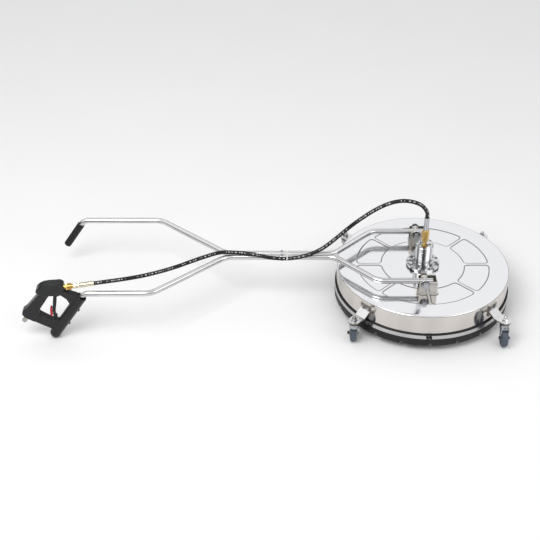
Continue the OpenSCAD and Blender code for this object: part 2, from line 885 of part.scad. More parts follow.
body_outline = rounded([[-57, 244, 8], [-55, 258, 10], [-42, 270, 12], [-26, 279, 16], [-4, 284, 24],
                        [46, 288, 8], [58, 280, 6], [61, 258, 6], [55, 238, 6], [36, 228, 6],
                        [-34, 228, 8]]);
grip_outline = rounded([[-40, 242, 6], [-106, 162, 12], [-124, 147, 8], [-128, 130, 8],
                        [-118, 113, 6], [-80, 90, 6], [-50, 116, 10], [-58, 144, 16],
                        [-1, 232, 6]]);
bridge_outline = rounded([[-92, 96, 3], [-8, 48, 3], [14, 60, 3], [22, 96, 3], [-8, 101, 12],
                          [-60, 136, 3]]);
strut_outline = rounded([[40, 262, 3], [62, 246, 8], [108, 228, 3], [124, 216, 3], [96, 176, 3],
                         [74, 160, 3], [75, 186, 10], [66, 206, 12], [46, 224, 8], [34, 236, 3]]);

module gun_solid() {
  gun_plate(body_outline, 42);
  gun_plate(grip_outline, 34);
  gun_plate(bridge_outline, 26);
  gun_plate(strut_outline, 26);
  sloped()
    rotate_extrude()
      intersection() {
        union() {
          circle(r = socket_r);
          translate([-socket_r, 0]) square([2 * socket_r, socket_len]);
        }
        translate([0, -socket_r]) square([socket_r, socket_r + socket_len]);
      }
}

trigger_room = [[-8, 200], [44, 200], [44, 250], [-8, 250]];

module gun_cavities() {
  sloped() {
    translate([0, 0, 72]) cylinder(r = tube_od / 2, h = 200);
    translate([0, 0, socket_len - 26]) cylinder(r1 = 15, r2 = 19, h = 26 + eps);
  }
  gun_plate(trigger_room, 15);
  translate([-32, -14, 252 - socket_r]) cube([40, 28, 18.5]);
  translate([2, -14, 252 - socket_r]) cube([29, 28, 28]);
  translate([0, 0, 264 - socket_r]) rotate([0, 90, 0]) cylinder(r = 8, h = 100);
  translate([inlet_at[0], 0, inlet_at[1] - socket_r]) sloped() {
    translate([0, 0, -60]) cylinder(r = inlet_r + 0.4, h = 78.4);
    cylinder(r = 7, h = 182);
  }
  translate([plunger_u, 0, 230 - socket_r]) cylinder(r = 5, h = 40);
  gun_holes();
}

screw_spots = [[-45, 255, 21], [47, 277, 21], [-72, 116, 17], [-24, 79, 13], [84, 218, 13]];

module gun_holes() {
  translate([trigger_pin[0], 25, trigger_pin[1] - socket_r]) rotate([90, 0, 0])
    cylinder(r = 3, h = 50);
  for (s = screw_spots)
    translate([s[0], 0, s[1] - socket_r]) rotate([90, 0, 0]) {
      translate([0, 0, -s[2] + 3]) cylinder(r = 2, h = 60);
      translate([0, 0, s[2] - 3]) cylinder(r = 4, h = 20);
    }
  for (t = [76, 158])
    sloped() translate([0, 0, t]) rotate([0, 90, 0]) cylinder(r = 3, h = 40);
}

module gun_half(side) {
  intersection() {
    difference() {
      gun_solid();
      gun_cavities();
    }
    translate([-200, side > 0 ? 0 : -60, -60]) cube([500, 60, 400]);
  }
}

module gun_shell_near() { color(plastic) on_gun() gun_half(-1); }
module gun_shell_far() { color(plastic) on_gun() gun_half(1); }

// Shell screws, the trigger's pivot pin and the two clamp screws on the socket
module gun_screws() {
  color(zinc) on_gun() {
    for (s = screw_spots)
      translate([s[0], 0, s[1] - socket_r]) rotate([90, 0, 0]) {
        translate([0, 0, -s[2] + 3]) cylinder(r = 2, h = 2 * s[2] - 6);
        translate([0, 0, s[2] - 3 - eps]) cylinder(r = 3.8, h = 2.6);
      }
    translate([trigger_pin[0], 20, trigger_pin[1] - socket_r]) rotate([90, 0, 0])
      cylinder(r = 3 - run_fit, h = 40);
    for (t = [76, 158])
      sloped() translate([tube_od / 2, 0, t]) rotate([0, 90, 0]) {
        cylinder(r = 3, h = socket_r - tube_od / 2 + 1);
        translate([0, 0, socket_r - tube_od / 2]) hexagon(10, 4.5);
      }
  }
}

module gun_inlet() {
  color(zinc) on_gun()
    translate([inlet_at[0], 0, inlet_at[1] - socket_r]) sloped()
      difference() {
        union() {
          translate([0, 0, -inlet_stub]) cylinder(r = inlet_r, h = inlet_stub);
          translate([0, 0, -1]) cylinder(r = inlet_r - 1.5, h = 19);
          cylinder(r = 6.8, h = 182);
        }
        translate([0, 0, -30]) cylinder(r = 4, h = 220);
      }
}

module valve_block() {
  color(brass) on_gun()
    difference() {
      union() {
        translate([-31, -13, 253 - socket_r]) cube([40, 26, 16.5]);
        translate([3, -13, 253 - socket_r]) cube([27, 26, 26]);
        translate([20, 0, 264 - socket_r]) rotate([0, 90, 0]) cylinder(r = 7.6, h = 46);
      }
      translate([inlet_at[0], 0, inlet_at[1] - socket_r]) sloped() cylinder(r = 7, h = 190);
      translate([-20, 0, 262 - socket_r]) rotate([0, 90, 0]) cylinder(r = 3, h = 120);
      translate([plunger_u, 0, 240 - socket_r]) cylinder(r = 3.05, h = 20);
      translate([plunger_u, 0, 256.5 - socket_r]) cylinder(r = 6, h = 20);
    }
}

// Return spring over the valve ball, drawn as its envelope
module valve_spring() {
  color(zinc) on_gun()
    translate([plunger_u, 0, 271.5 - socket_r]) ring(3, 4.4, 5);
}

// Push pin and ball: the trigger lifts them
module valve_plunger() {
  color(zinc) on_gun()
    translate([plunger_u, 0, 0]) {
      translate([0, 0, plunger_z - socket_r]) sphere(r = 3, $fn = 32);
      translate([0, 0, plunger_z - socket_r]) cylinder(r = 3, h = 17);
      translate([0, 0, plunger_z + 20.5 - socket_r]) sphere(r = 4.6);
    }
}

// Live swivel, hose nut and ferrule between the gun and the hose
module outlet_fittings() {
  color(brass) on_gun()
    translate([66, 0, 262 - socket_r]) rotate([0, 0, chain_yaw]) rotate([0, 90 - chain_rise, 0])
      difference() {
        union() {
          translate([0, 0, -3]) cylinder(r = 6, h = 5);
          translate([0, 0, 1.4]) hexagon(25, 7);
          translate([0, 0, 8]) cylinder(r = 14.5, h = 20);
          translate([0, 0, 27.5]) cylinder(r = 9, h = 8);
          translate([0, 0, 35]) hexagon(22, 20);
          translate([0, 0, 54.5]) cylinder(r = 8, h = 6);
          translate([0, 0, 60]) cylinder(r = 11, h = 14);
          translate([0, 0, 73.5]) cylinder(r = 9.8, h = 46);
        }
        translate([0, 0, -1]) cylinder(r = 3, h = 200);
      }
}

trigger_outline = rounded([[4, 241, 2], [34, 242, 5], [35, 226, 5], [24, 210, 10], [20, 180, 30],
                           [12, 140, 10], [11, 125, 5], [18, 114, 3], [16, 106, 3], [1, 105, 3],
                           [1, 150, 20], [8, 198, 20], [12, 222, 6], [4, 230, 2]]);

module trigger() {
  color(rubber) on_gun()
    difference() {
      union() {
        gun_plate(trigger_outline, 12);
        translate([latch_pin[0], 2, latch_pin[1] - socket_r]) rotate([90, 0, 0])
          cylinder(r = 3.6, h = 4);
        translate([latch_pin[0], -2, latch_pin[1] - 2 - socket_r]) cube([8, 4, 4]);
      }
      translate([trigger_pin[0], 20, trigger_pin[1] - socket_r]) rotate([90, 0, 0])
        cylinder(r = 3, h = 40);
      translate([latch_pin[0], 20, latch_pin[1] - socket_r]) rotate([90, 0, 0])
        cylinder(r = 1.5 + run_fit, h = 40);
    }
}

latch_outline = rounded([[-0.4, 161, 1.5], [-6, 164, 2], [-9, 156, 3], [-12, 120, 3],
                         [-8, 112, 3], [-2, 116, 2]]);

// Safety latch: it swings out from the trigger on its own pin
module trigger_latch() {
  color(latch_red) on_gun() {
    difference() {
      gun_plate(latch_outline, 10);
      translate([latch_pin[0], 2.4, latch_pin[1] - socket_r]) rotate([90, 0, 0])
        cylinder(r = 5.2, h = 4.8);
      translate([latch_pin[0], -2.4, latch_pin[1] - 5.2 - socket_r]) cube([8, 4.8, 10.4]);
    }
    translate([latch_pin[0], 4, latch_pin[1] - socket_r]) rotate([90, 0, 0])
      cylinder(r = 1.5, h = 8);
  }
}

deck_shell();
rubber_skirt();
skirt_band();
band_screw();
yoke_plate();
yoke_brackets();
swivel_flange();
flange_bolts();
swivel_housing();
swivel_cap();
bearing_outer_rings();
shaft_seals();
inlet_adapter();
hose_nut();
deck_ferrule();
pivot_bolts();
pivot_nuts();
pivot_washers();
pivot_bushes();
caster_arms();
arm_bolts();
caster_stems();
dome_nuts();
rotor_shaft();
bearing_inner_rings();
bearing_balls();
rotor_hub();
spray_arms();
nozzle_elbows();
nozzles();
fork_fl();
fork_fr();
fork_bl();
fork_br();
axle_fl();
axle_fr();
axle_bl();
axle_br();
wheel_fl();
wheel_fr();
wheel_bl();
wheel_br();
lower_tubes();
upper_tube_near();
upper_tube_far();
pivot_sleeves();
joint_bolts();
cable_tie();
far_grip();
hose();
gun_shell_near();
gun_shell_far();
gun_screws();
gun_inlet();
valve_block();
valve_spring();
valve_plunger();
outlet_fittings();
trigger();
trigger_latch();
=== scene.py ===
"""Looks of the surface cleaner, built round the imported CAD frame. Metres, Z up."""

import math

import bmesh
import bpy
from mathutils import Matrix, Vector


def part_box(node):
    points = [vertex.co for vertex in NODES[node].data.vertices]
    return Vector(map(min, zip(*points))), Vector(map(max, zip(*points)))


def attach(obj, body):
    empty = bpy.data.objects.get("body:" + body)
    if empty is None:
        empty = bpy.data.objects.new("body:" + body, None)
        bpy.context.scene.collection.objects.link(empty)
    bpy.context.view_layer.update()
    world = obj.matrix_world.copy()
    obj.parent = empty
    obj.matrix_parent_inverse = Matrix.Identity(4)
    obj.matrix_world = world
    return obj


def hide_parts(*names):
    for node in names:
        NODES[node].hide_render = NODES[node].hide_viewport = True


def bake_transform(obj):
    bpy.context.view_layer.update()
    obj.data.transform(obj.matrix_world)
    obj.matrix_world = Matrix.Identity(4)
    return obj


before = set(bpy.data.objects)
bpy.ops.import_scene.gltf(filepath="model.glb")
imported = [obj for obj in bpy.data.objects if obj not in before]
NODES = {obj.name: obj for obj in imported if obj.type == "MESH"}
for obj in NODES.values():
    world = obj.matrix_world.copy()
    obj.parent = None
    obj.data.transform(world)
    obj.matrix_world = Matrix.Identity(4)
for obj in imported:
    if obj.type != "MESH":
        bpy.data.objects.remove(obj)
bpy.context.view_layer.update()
SCENE = bpy.context.scene

# ------------------------------------------------------------------ datum points, from the CAD
shell_lo, shell_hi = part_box("deck_shell")
DECK_X = (shell_lo.x + shell_hi.x) / 2
DECK_R = (shell_hi.x - shell_lo.x) / 2
DECK_TOP = shell_hi.z
CORNERS = ("fl", "fr", "bl", "br")


def deck(x, y, z):
    """The frame's point, in metres, for millimetres from the foot of the bell's axis."""
    return Vector((DECK_X + x / 1000, y / 1000, z / 1000))


# ------------------------------------------------------------------ camera
CAMERA_AT = (-669.3, -3985.7, 3021.5)  # millimetres from the bell's axis
CAMERA_DOWN = 35.78  # degrees below the horizon
LENS = 74.4  # millimetres
SENSOR = 36
FAR_CLIP = 60


def add_camera():
    data = bpy.data.cameras.new("camera")
    data.lens = LENS
    data.sensor_width = SENSOR
    data.clip_end = FAR_CLIP
    cam = bpy.data.objects.new("camera", data)
    cam.location = deck(*CAMERA_AT)
    cam.rotation_euler = (math.radians(90 - CAMERA_DOWN), 0, 0)
    SCENE.collection.objects.link(cam)
    SCENE.camera = cam


add_camera()

# ------------------------------------------------------------------ materials


class Shader:
    """A small helper that builds one Principled material out of procedural nodes."""

    def __init__(self, name):
        self.mat = bpy.data.materials.new(name)
        self.mat.use_nodes = True
        self.tree = self.mat.node_tree
        self.bsdf = self.tree.nodes["Principled BSDF"]
        self.coord = self.tree.nodes.new("ShaderNodeTexCoord").outputs["Object"]

    def node(self, kind):
        return self.tree.nodes.new(kind)

    def put(self, socket, value):
        if isinstance(value, bpy.types.NodeSocket):
            self.tree.links.new(value, socket)
        else:
            socket.default_value = value

    def set(self, **values):
        """Sets or links sockets of the shader: Base_Color stands for Base Color."""
        for key, value in values.items():
            self.put(self.bsdf.inputs[key.replace("_", " ")], value)

    def stretched(self, scale):
        n = self.node("ShaderNodeMapping")
        self.put(n.inputs["Vector"], self.coord)
        n.inputs["Scale"].default_value = scale
        return n.outputs["Vector"]

    def noise(self, scale, detail=3.0, rough=0.5, vector=None):
        n = self.node("ShaderNodeTexNoise")
        self.put(n.inputs["Vector"], vector or self.coord)
        n.inputs["Scale"].default_value = scale
        n.inputs["Detail"].default_value = detail
        n.inputs["Roughness"].default_value = rough
        return n.outputs["Fac"]

    def span(self, value, low, high, out_low, out_high):
        """Maps low..high to out_low..out_high, clamped."""
        n = self.node("ShaderNodeMapRange")
        self.put(n.inputs["Value"], value)
        for key, number in (("From Min", low), ("From Max", high),
                            ("To Min", out_low), ("To Max", out_high)):
            n.inputs[key].default_value = number
        return n.outputs["Result"]

    def math(self, op, a, b=0.0):
        n = self.node("ShaderNodeMath")
        n.operation = op
        self.put(n.inputs[0], a)
        self.put(n.inputs[1], b)
        return n.outputs[0]

    def mix(self, fac, a, b):
        n = self.node("ShaderNodeMix")
        n.data_type = "RGBA"
        self.put(n.inputs["Factor"], fac)
        self.put(n.inputs[6], a)
        self.put(n.inputs[7], b)
        return n.outputs[2]

    def bump(self, height, strength, distance, below=None):
        n = self.node("ShaderNodeBump")
        n.inputs["Strength"].default_value = strength
        n.inputs["Distance"].default_value = distance
        self.put(n.inputs["Height"], height)
        if below is not None:
            self.put(n.inputs["Normal"], below)
        return n.outputs["Normal"]


def rgb(r, g, b):
    return (r, g, b, 1.0)


UPRIGHT = (0.1, 0.6)  # the normal's Z where a face counts as upright, and as lying flat
# Painted shade: upright and lower faces of metal take a darker wall colour, clouded darker by
# this share.
WALL_SHADE = 0.6
# Painted shade lines on the bell:
SHADE_LINE_GREY = (0.1, 0.1, 0.1)
# Painted reflection streaks on machined steel:
REFLECTION_GREY = (0.05, 0.05, 0.05)
RUBBER_SPECULAR = 0.33
HOSE_SPECULAR = 0.3


def metal(name, colour, dark, rough, streak=(3, 3, 3), wave=0.0, grime=0.25,
          wall=None, reflection_bands=None, painted_lines=False):
    """Worn metal: dark is the colour of its stains, and streak stretches its fine marks.

    Wave is the strength of a slow ripple, wall a painted shade colour for upright and lower
    faces, bands the strength of painted upright reflection streaks, and creased paints the
    mesh's shade lines.
    """
    s = Shader(name)
    wide = s.noise(6, 4, 0.55)
    fine = s.noise(220, 3, 0.6, s.stretched(streak))
    spots = s.span(s.noise(34, 5, 0.65), 0.56, 0.74, 0, grime)
    tint = s.mix(spots, rgb(*colour), rgb(*dark))
    # Painted shade: upright and lower faces take the darker wall colour, with clouds of deeper
    # painted shade.
    if wall:
        facing = s.node("ShaderNodeSeparateXYZ")
        s.put(facing.inputs[0], s.node("ShaderNodeNewGeometry").outputs["Normal"])
        shade_clouds = s.noise(5, 3, 0.5, s.stretched((1, 1, 0.3)))
        shaded = [WALL_SHADE * c for c in wall]
        painted_upright_shade = s.mix(s.span(shade_clouds, 0.4, 0.66, 0, 0.55), rgb(*wall), rgb(*shaded))
        tint = s.mix(s.span(facing.outputs[2], *UPRIGHT, 1, 0), tint, painted_upright_shade)
    # Painted shade: dark lines read from the mesh's attribute, at the bell's panel edges and
    # rim.
    if painted_lines:
        shade_line = s.node("ShaderNodeAttribute")
        shade_line.attribute_name = "shade_line"
        tint = s.mix(shade_line.outputs["Fac"], tint, rgb(*SHADE_LINE_GREY))
    # Painted reflection: soft dark upright streaks, standing in for a dark surround mirrored in
    # round parts.
    if reflection_bands:
        reflection_stripes = s.noise(60, 2, 0.5, s.stretched((1, 1, 0.02)))
        tint = s.mix(s.span(reflection_stripes, 0.45, 0.6, 0, reflection_bands), tint, rgb(*REFLECTION_GREY))
    marks = s.span(fine, 0.3, 0.7, rough * 0.75, rough * 1.3)
    haze = s.span(wide, 0.35, 0.7, 0, 0.06)
    normal = s.bump(fine, 0.06, 0.0002)
    if wave:
        normal = s.bump(s.noise(4.5, 2, 0.4), wave, 0.01, normal)
    s.set(Base_Color=tint, Metallic=1.0, Roughness=s.math("ADD", marks, haze), Normal=normal)
    return s.mat


def rubber_like(name, colour, worn, rough, grain, depth, dust=0.3):
    """Rubber or moulded plastic: worn is the colour of its dusty patches."""
    s = Shader(name)
    grains = s.noise(grain, 4, 0.6)
    patches = s.span(s.noise(22, 5, 0.6), 0.5, 0.75, 0, dust)
    s.set(Base_Color=s.mix(patches, rgb(*colour), rgb(*worn)),
          Roughness=s.span(grains, 0.3, 0.7, rough - 0.07, rough + 0.1),
          Specular_IOR_Level=RUBBER_SPECULAR, Normal=s.bump(grains, 0.35, depth))
    return s.mat


DASH_SCALE = 105  # noise cells in a metre of hose
PRINT_REPEAT = 0.21
PRINT_SHARE = 0.8
PRINT_AT, PRINT_HALF = 0.6, 0.045  # the printed line, as shares of the way round


def hose_cover():
    """Satin rubber with one worn line of plain, irregular pale dashes."""
    s = Shader("hose_cover")
    split = s.node("ShaderNodeSeparateXYZ")
    s.put(split.inputs[0], s.node("ShaderNodeUVMap").outputs["UV"])
    along, around = split.outputs[0], split.outputs[1]
    run = s.node("ShaderNodeCombineXYZ")
    s.put(run.inputs[0], along)
    dash = s.span(s.noise(DASH_SCALE, 1, 0.5, run.outputs[0]), 0.5, 0.53, 0, 1)
    repeat = s.math("FRACT", s.math("DIVIDE", along, PRINT_REPEAT))
    pause = s.math("LESS_THAN", repeat, PRINT_SHARE)
    beside = s.math("ABSOLUTE", s.math("SUBTRACT", around, PRINT_AT))
    line = s.math("LESS_THAN", beside, PRINT_HALF)
    worn = s.span(s.noise(260, 3, 0.6), 0.3, 0.6, 0.25, 0.95)
    mask = s.math("MULTIPLY", s.math("MULTIPLY", s.math("MULTIPLY", dash, pause), line), worn)
    grain = s.noise(900, 4, 0.6)
    base = s.mix(s.span(s.noise(22, 5), 0.45, 0.75, 0, 0.4), rgb(0.01, 0.01, 0.0105),
                 rgb(0.03, 0.03, 0.03))
    s.set(Base_Color=s.mix(mask, base, rgb(0.7, 0.7, 0.68)),
          Roughness=s.span(grain, 0.3, 0.7, 0.34, 0.5), Specular_IOR_Level=HOSE_SPECULAR,
          Normal=s.bump(grain, 0.35, 0.00025))
    return s.mat


MAT = {
    # Each wall colour below is painted shade on upright and lower faces; the deck also paints
    # shade lines.
    "deck": metal("deck_steel", (0.93, 0.935, 0.95), (0.62, 0.62, 0.62), 0.07, (1, 1, 1),
                  wave=0.04, grime=0.1, wall=(0.74, 0.7, 0.66), painted_lines=True),
    "tube": metal("tube_steel", (0.82, 0.82, 0.825), (0.5, 0.5, 0.5), 0.13, (1, 12, 12),
                  wall=(0.62, 0.62, 0.62)),
    "plate": metal("plate_steel", (0.8, 0.805, 0.81), (0.4, 0.4, 0.4), 0.17, (1, 1, 14),
                   wall=(0.6, 0.575, 0.53)),
    "arm": metal("arm_steel", (0.82, 0.82, 0.81), (0.4, 0.4, 0.4), 0.2, (1, 14, 1),
                 wall=(0.22, 0.2, 0.18)),
    "washer": metal("washer_steel", (0.12, 0.12, 0.125), (0.05, 0.05, 0.05), 0.3),
    # Machined steel carries painted reflection streaks.
    "machined": metal("machined_steel", (0.74, 0.745, 0.75), (0.34, 0.34, 0.34), 0.12,
                      (1, 1, 16), reflection_bands=0.85),
    "zinc": metal("zinc_plate", (0.5, 0.51, 0.53), (0.26, 0.26, 0.25), 0.24),
    "fork": metal("fork_zinc", (0.42, 0.44, 0.46), (0.2, 0.2, 0.2), 0.26),
    "blackened": metal("blackened_steel", (0.07, 0.07, 0.07), (0.03, 0.03, 0.03), 0.4),
    "yellow_zinc": metal("yellow_zinc", (0.72, 0.66, 0.5), (0.3, 0.26, 0.17), 0.2),
    "inlet": metal("inlet_zinc", (0.42, 0.4, 0.36), (0.16, 0.15, 0.13), 0.22),
    "brass": metal("brass", (0.74, 0.5, 0.17), (0.3, 0.17, 0.05), 0.2, grime=0.5),
    "rubber": rubber_like("black_rubber", (0.011, 0.011, 0.012), (0.035, 0.034, 0.033),
                          0.5, 700, 0.0003),
    "hose": hose_cover(),
    "grip": rubber_like("grip_foam", (0.012, 0.012, 0.013), (0.04, 0.04, 0.04),
                        0.55, 500, 0.0006),
    "shell": rubber_like("gun_shell", (0.012, 0.0125, 0.0135), (0.045, 0.045, 0.047),
                         0.28, 1500, 0.0002, 0.15),
    "tyre": rubber_like("wheel_tread", (0.075, 0.095, 0.125), (0.14, 0.15, 0.165),
                        0.48, 400, 0.0003, 0.5),
    "red": rubber_like("latch_plastic", (0.5, 0.012, 0.02), (0.3, 0.02, 0.02),
                       0.3, 600, 0.0001, 0.2),
    "nylon": rubber_like("nylon", (0.78, 0.77, 0.72), (0.6, 0.58, 0.52), 0.4, 300, 0.0002),
}

# the CAD nodes that wear each material
LOOKS = {
    "deck": ["deck_shell"],
    "tube": ["lower_tubes", "upper_tube_near", "upper_tube_far", "pivot_sleeves", "skirt_band",
             "spray_arms"],
    "plate": ["yoke_plate", "yoke_brackets"],
    "arm": ["caster_arms"],
    "washer": ["pivot_washers"],
    "machined": ["swivel_flange", "swivel_housing", "swivel_cap", "rotor_shaft", "rotor_hub",
                 "dome_nuts"],
    "zinc": ["flange_bolts", "bearing_outer_rings", "deck_ferrule", "pivot_bolts", "pivot_nuts",
             "arm_bolts", "caster_stems", "bearing_inner_rings", "bearing_balls",
             "nozzle_elbows", "joint_bolts", "valve_spring", "valve_plunger"],
    "inlet": ["gun_inlet"],
    "fork": [f"fork_{k}" for k in CORNERS],
    "blackened": ["gun_screws"] + [f"axle_{k}" for k in CORNERS],
    "brass": ["inlet_adapter", "hose_nut", "nozzles", "valve_block", "outlet_fittings"],
    "rubber": ["rubber_skirt", "shaft_seals", "band_screw", "trigger"],
    "hose": ["hose"],
    "grip": ["far_grip"],
    "shell": ["gun_shell_near", "gun_shell_far"],
    "red": ["trigger_latch"],
    "nylon": ["pivot_bushes", "cable_tie"],
    "tyre": [f"wheel_{k}" for k in CORNERS],
}


def dress_cad():
    for look, names in LOOKS.items():
        for name in names:
            obj = NODES[name]
            obj.data.materials.clear()
            obj.data.materials.append(MAT[look])


dress_cad()

# ------------------------------------------------------------------ mesh helpers


def link(name, bm, look, smooth_deg=35):
    """Makes the mesh an object, smooth but for edges sharper than smooth_deg degrees."""
    mesh = bpy.data.meshes.new(name)
    bmesh.ops.recalc_face_normals(bm, faces=bm.faces)
    bm.to_mesh(mesh)
    bm.free()
    mesh.shade_smooth()
    mesh.set_sharp_from_angle(angle=math.radians(smooth_deg))
    mesh.materials.append(MAT[look])
    obj = bpy.data.objects.new(name, mesh)
    SCENE.collection.objects.link(obj)
    return obj


def grid_faces(bm, rows):
    """Skins a table of vertices that closes on itself both ways."""
    m, n = len(rows), len(rows[0])
    for i in range(m):
        for k in range(n):
            a, b = rows[i], rows[(i + 1) % m]
            bm.faces.new((a[k], a[(k + 1) % n], b[(k + 1) % n], b[k]))


def around(r, a, h):
    """The point at radius r, angle a and height h of an upright axis."""
    return Vector((r * math.cos(a), r * math.sin(a), h))


def lathe(bm, profile, place, turn, sides):
    """Spins a closed profile of (radius, height) round +Z, then turns and places it."""
    rows = []
    for i in range(sides):
        a = 2 * math.pi * i / sides
        rows.append([bm.verts.new(place + turn @ around(r, a, h)) for r, h in profile])
    grid_faces(bm, rows)


def smoothstep(x):
    x = min(1.0, max(0.0, x))
    return x * x * (3 - 2 * x)


# ------------------------------------------------------------------ hose, a cord

# the route of the CAD's hose, in millimetres from the bell's axis
HOSE_MM = [
    (0, 0, 424), (-1, 0, 445), (-12, 0, 468), (-34, -1, 490), (-66, -2, 504), (-105, -3, 510),
    (-145, -3, 504), (-185, -3, 488), (-228, -3, 462), (-268, -3, 431), (-312, -3, 393),
    (-352, -4, 354), (-396, -8, 312), (-440, -15, 277), (-485, -24, 256), (-528, -31, 244),
    (-570, -34, 237), (-610, -34.5, 235), (-660, -34, 238), (-708, -29, 245), (-752, -21, 250),
    (-797, -14, 251), (-842, -11, 251.5), (-888, -14, 252), (-947, -45, 253),
    (-1003, -82, 255), (-1064, -124, 257), (-1128, -163, 260), (-1197, -200, 265),
    (-1268, -230, 270), (-1340, -252, 273), (-1398.5, -264.6, 272)]
HOSE_D = 0.017
HOSE_SIDES = 28
HOSE_STEPS = 8  # points between two of the route's


def spline(points, per):
    """A smooth curve through the points, with per steps between each two."""
    out = []
    last = len(points) - 1
    for i in range(last):
        p0, p1 = points[max(i - 1, 0)], points[i]
        p2, p3 = points[i + 1], points[min(i + 2, last)]
        for k in range(per):
            t = k / per
            out.append(0.5 * (2 * p1 + (p2 - p0) * t + (2 * p0 - 5 * p1 + 4 * p2 - p3) * t * t
                              + (3 * p1 - p0 - 3 * p2 + p3) * t ** 3))
    out.append(points[last])
    return out


def swept(bm, line, radius, sides):
    """A capped tube along line, with UVs of metres run and share of the way round."""
    rows, runs = [], []
    u, run = Vector((0, 1, 0)), 0.0
    for i, p in enumerate(line):
        d = (line[min(i + 1, len(line) - 1)] - line[max(i - 1, 0)]).normalized()
        u = (u - d * u.dot(d)).normalized()
        v = d.cross(u)
        run += (p - line[max(i - 1, 0)]).length
        runs.append(run)
        rows.append([bm.verts.new(p + radius * (u * math.cos(a) + v * math.sin(a)))
                     for a in (2 * math.pi * k / sides for k in range(sides))])
    layer = bm.loops.layers.uv.new("UVMap")
    for i in range(len(rows) - 1):
        for k in range(sides):
            face = bm.faces.new((rows[i][k], rows[i][(k + 1) % sides],
                                 rows[i + 1][(k + 1) % sides], rows[i + 1][k]))
            spots = ((i, k), (i, k + 1), (i + 1, k + 1), (i + 1, k))
            for loop, (row, col) in zip(face.loops, spots):
                loop[layer].uv = (runs[row], col / sides)
    bm.faces.new(rows[0])
    bm.faces.new(rows[-1])


def add_hose():
    line = spline([deck(*p) for p in HOSE_MM], HOSE_STEPS)
    bm = bmesh.new()
    swept(bm, line, HOSE_D / 2, HOSE_SIDES)
    hose = link("hose_skin", bm, "hose")
    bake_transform(hose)
    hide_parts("hose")


add_hose()

# ------------------------------------------------------------------ floor and light

# (height of the direction looked in, grey): dark near the horizon, so that metal gets lines
SKY = ((0.0, 0.02), (0.19, 0.03), (0.32, 0.38), (0.45, 0.86), (0.8, 0.95), (1.0, 0.45))
SKY_STRENGTH = 1.0
SKY_BLUE = 1.01  # how much bluer than grey
FLOOR_HALF = 60


def add_stage():
    mesh = bpy.data.meshes.new("floor")
    bm = bmesh.new()
    bmesh.ops.create_grid(bm, x_segments=1, y_segments=1, size=FLOOR_HALF)
    bm.to_mesh(mesh)
    bm.free()
    floor = bpy.data.objects.new("floor", mesh)
    SCENE.collection.objects.link(floor)
    s = Shader("floor_paper")
    s.set(Base_Color=s.mix(s.noise(2, 2), rgb(0.9, 0.9, 0.9), rgb(0.93, 0.93, 0.93)),
          Roughness=s.span(s.noise(60, 2), 0, 1, 0.75, 0.85))
    mesh.materials.append(s.mat)

    world = bpy.data.worlds.new("studio")
    world.use_nodes = True
    SCENE.world = world
    tree = world.node_tree
    background = tree.nodes["Background"]
    coord = tree.nodes.new("ShaderNodeTexCoord")
    split = tree.nodes.new("ShaderNodeSeparateXYZ")
    ramp = tree.nodes.new("ShaderNodeValToRGB")
    tree.links.new(coord.outputs["Generated"], split.inputs["Vector"])
    tree.links.new(split.outputs["Z"], ramp.inputs["Fac"])
    tree.links.new(ramp.outputs["Color"], background.inputs["Color"])
    while len(ramp.color_ramp.elements) < len(SKY):
        ramp.color_ramp.elements.new(0.5)
    for element, (height, grey) in zip(ramp.color_ramp.elements, SKY):
        element.position = height
        element.color = rgb(grey, grey, grey * SKY_BLUE)
    background.inputs["Strength"].default_value = SKY_STRENGTH


def add_light(name, at, aim, size, power):
    data = bpy.data.lights.new(name, "AREA")
    data.energy = power
    data.size = size
    light = bpy.data.objects.new(name, data)
    light.location = at
    light.rotation_euler = (Vector(aim) - Vector(at)).to_track_quat("-Z", "Y").to_euler()
    SCENE.collection.objects.link(light)


add_stage()
add_light("key", at=(-1.6, -2.2, 4.2), aim=(0, 0, 0), size=2.6, power=105)
add_light("fill", at=(3.0, -2.0, 2.6), aim=(0.4, 0, 0), size=2.0, power=16)
SCENE.view_settings.view_transform = "Standard"

# ------------------------------------------------------------------ bell

EDGE_R = 0.006
SHEET = 0.003
HOLE_R = 0.031
BELL_SIDES = 960
FINE_R0, FINE_R1, FINE_STEP = 0.16, 0.31, 0.0013  # the ring of the top with the panels
FINE_RINGS = 110
COARSE_RINGS = 8
RIB_HALF = 0.007
PANEL_R0, PANEL_R1 = 0.181, 0.288
PANEL_DEPTH = 0.0018
PANEL_SLOPE = 0.0045
PANEL_CORNER = 0.016
PANELS = 8
# Painted shade lines, darkening the colour along the panels' edges and just under the rim:
PANEL_SHADE_LINE = 0.9  # darkness along a panel's edge
RIM_SHADE_LINE = 0.55  # darkness under the rim


def panel_edge_distance(r, a):
    """How far a point lies inside the nearest pressed panel, from its rounded outline."""
    sector = 2 * math.pi / PANELS
    off = (a / sector - math.floor(a / sector)) * sector
    off = min(off, sector - off)
    side = r * math.sin(off) - RIB_HALF
    ends = min(r - PANEL_R0, PANEL_R1 - r)
    c = PANEL_CORNER
    if side < c and ends < c:
        return c - math.hypot(c - side, c - ends)
    return min(side, ends)


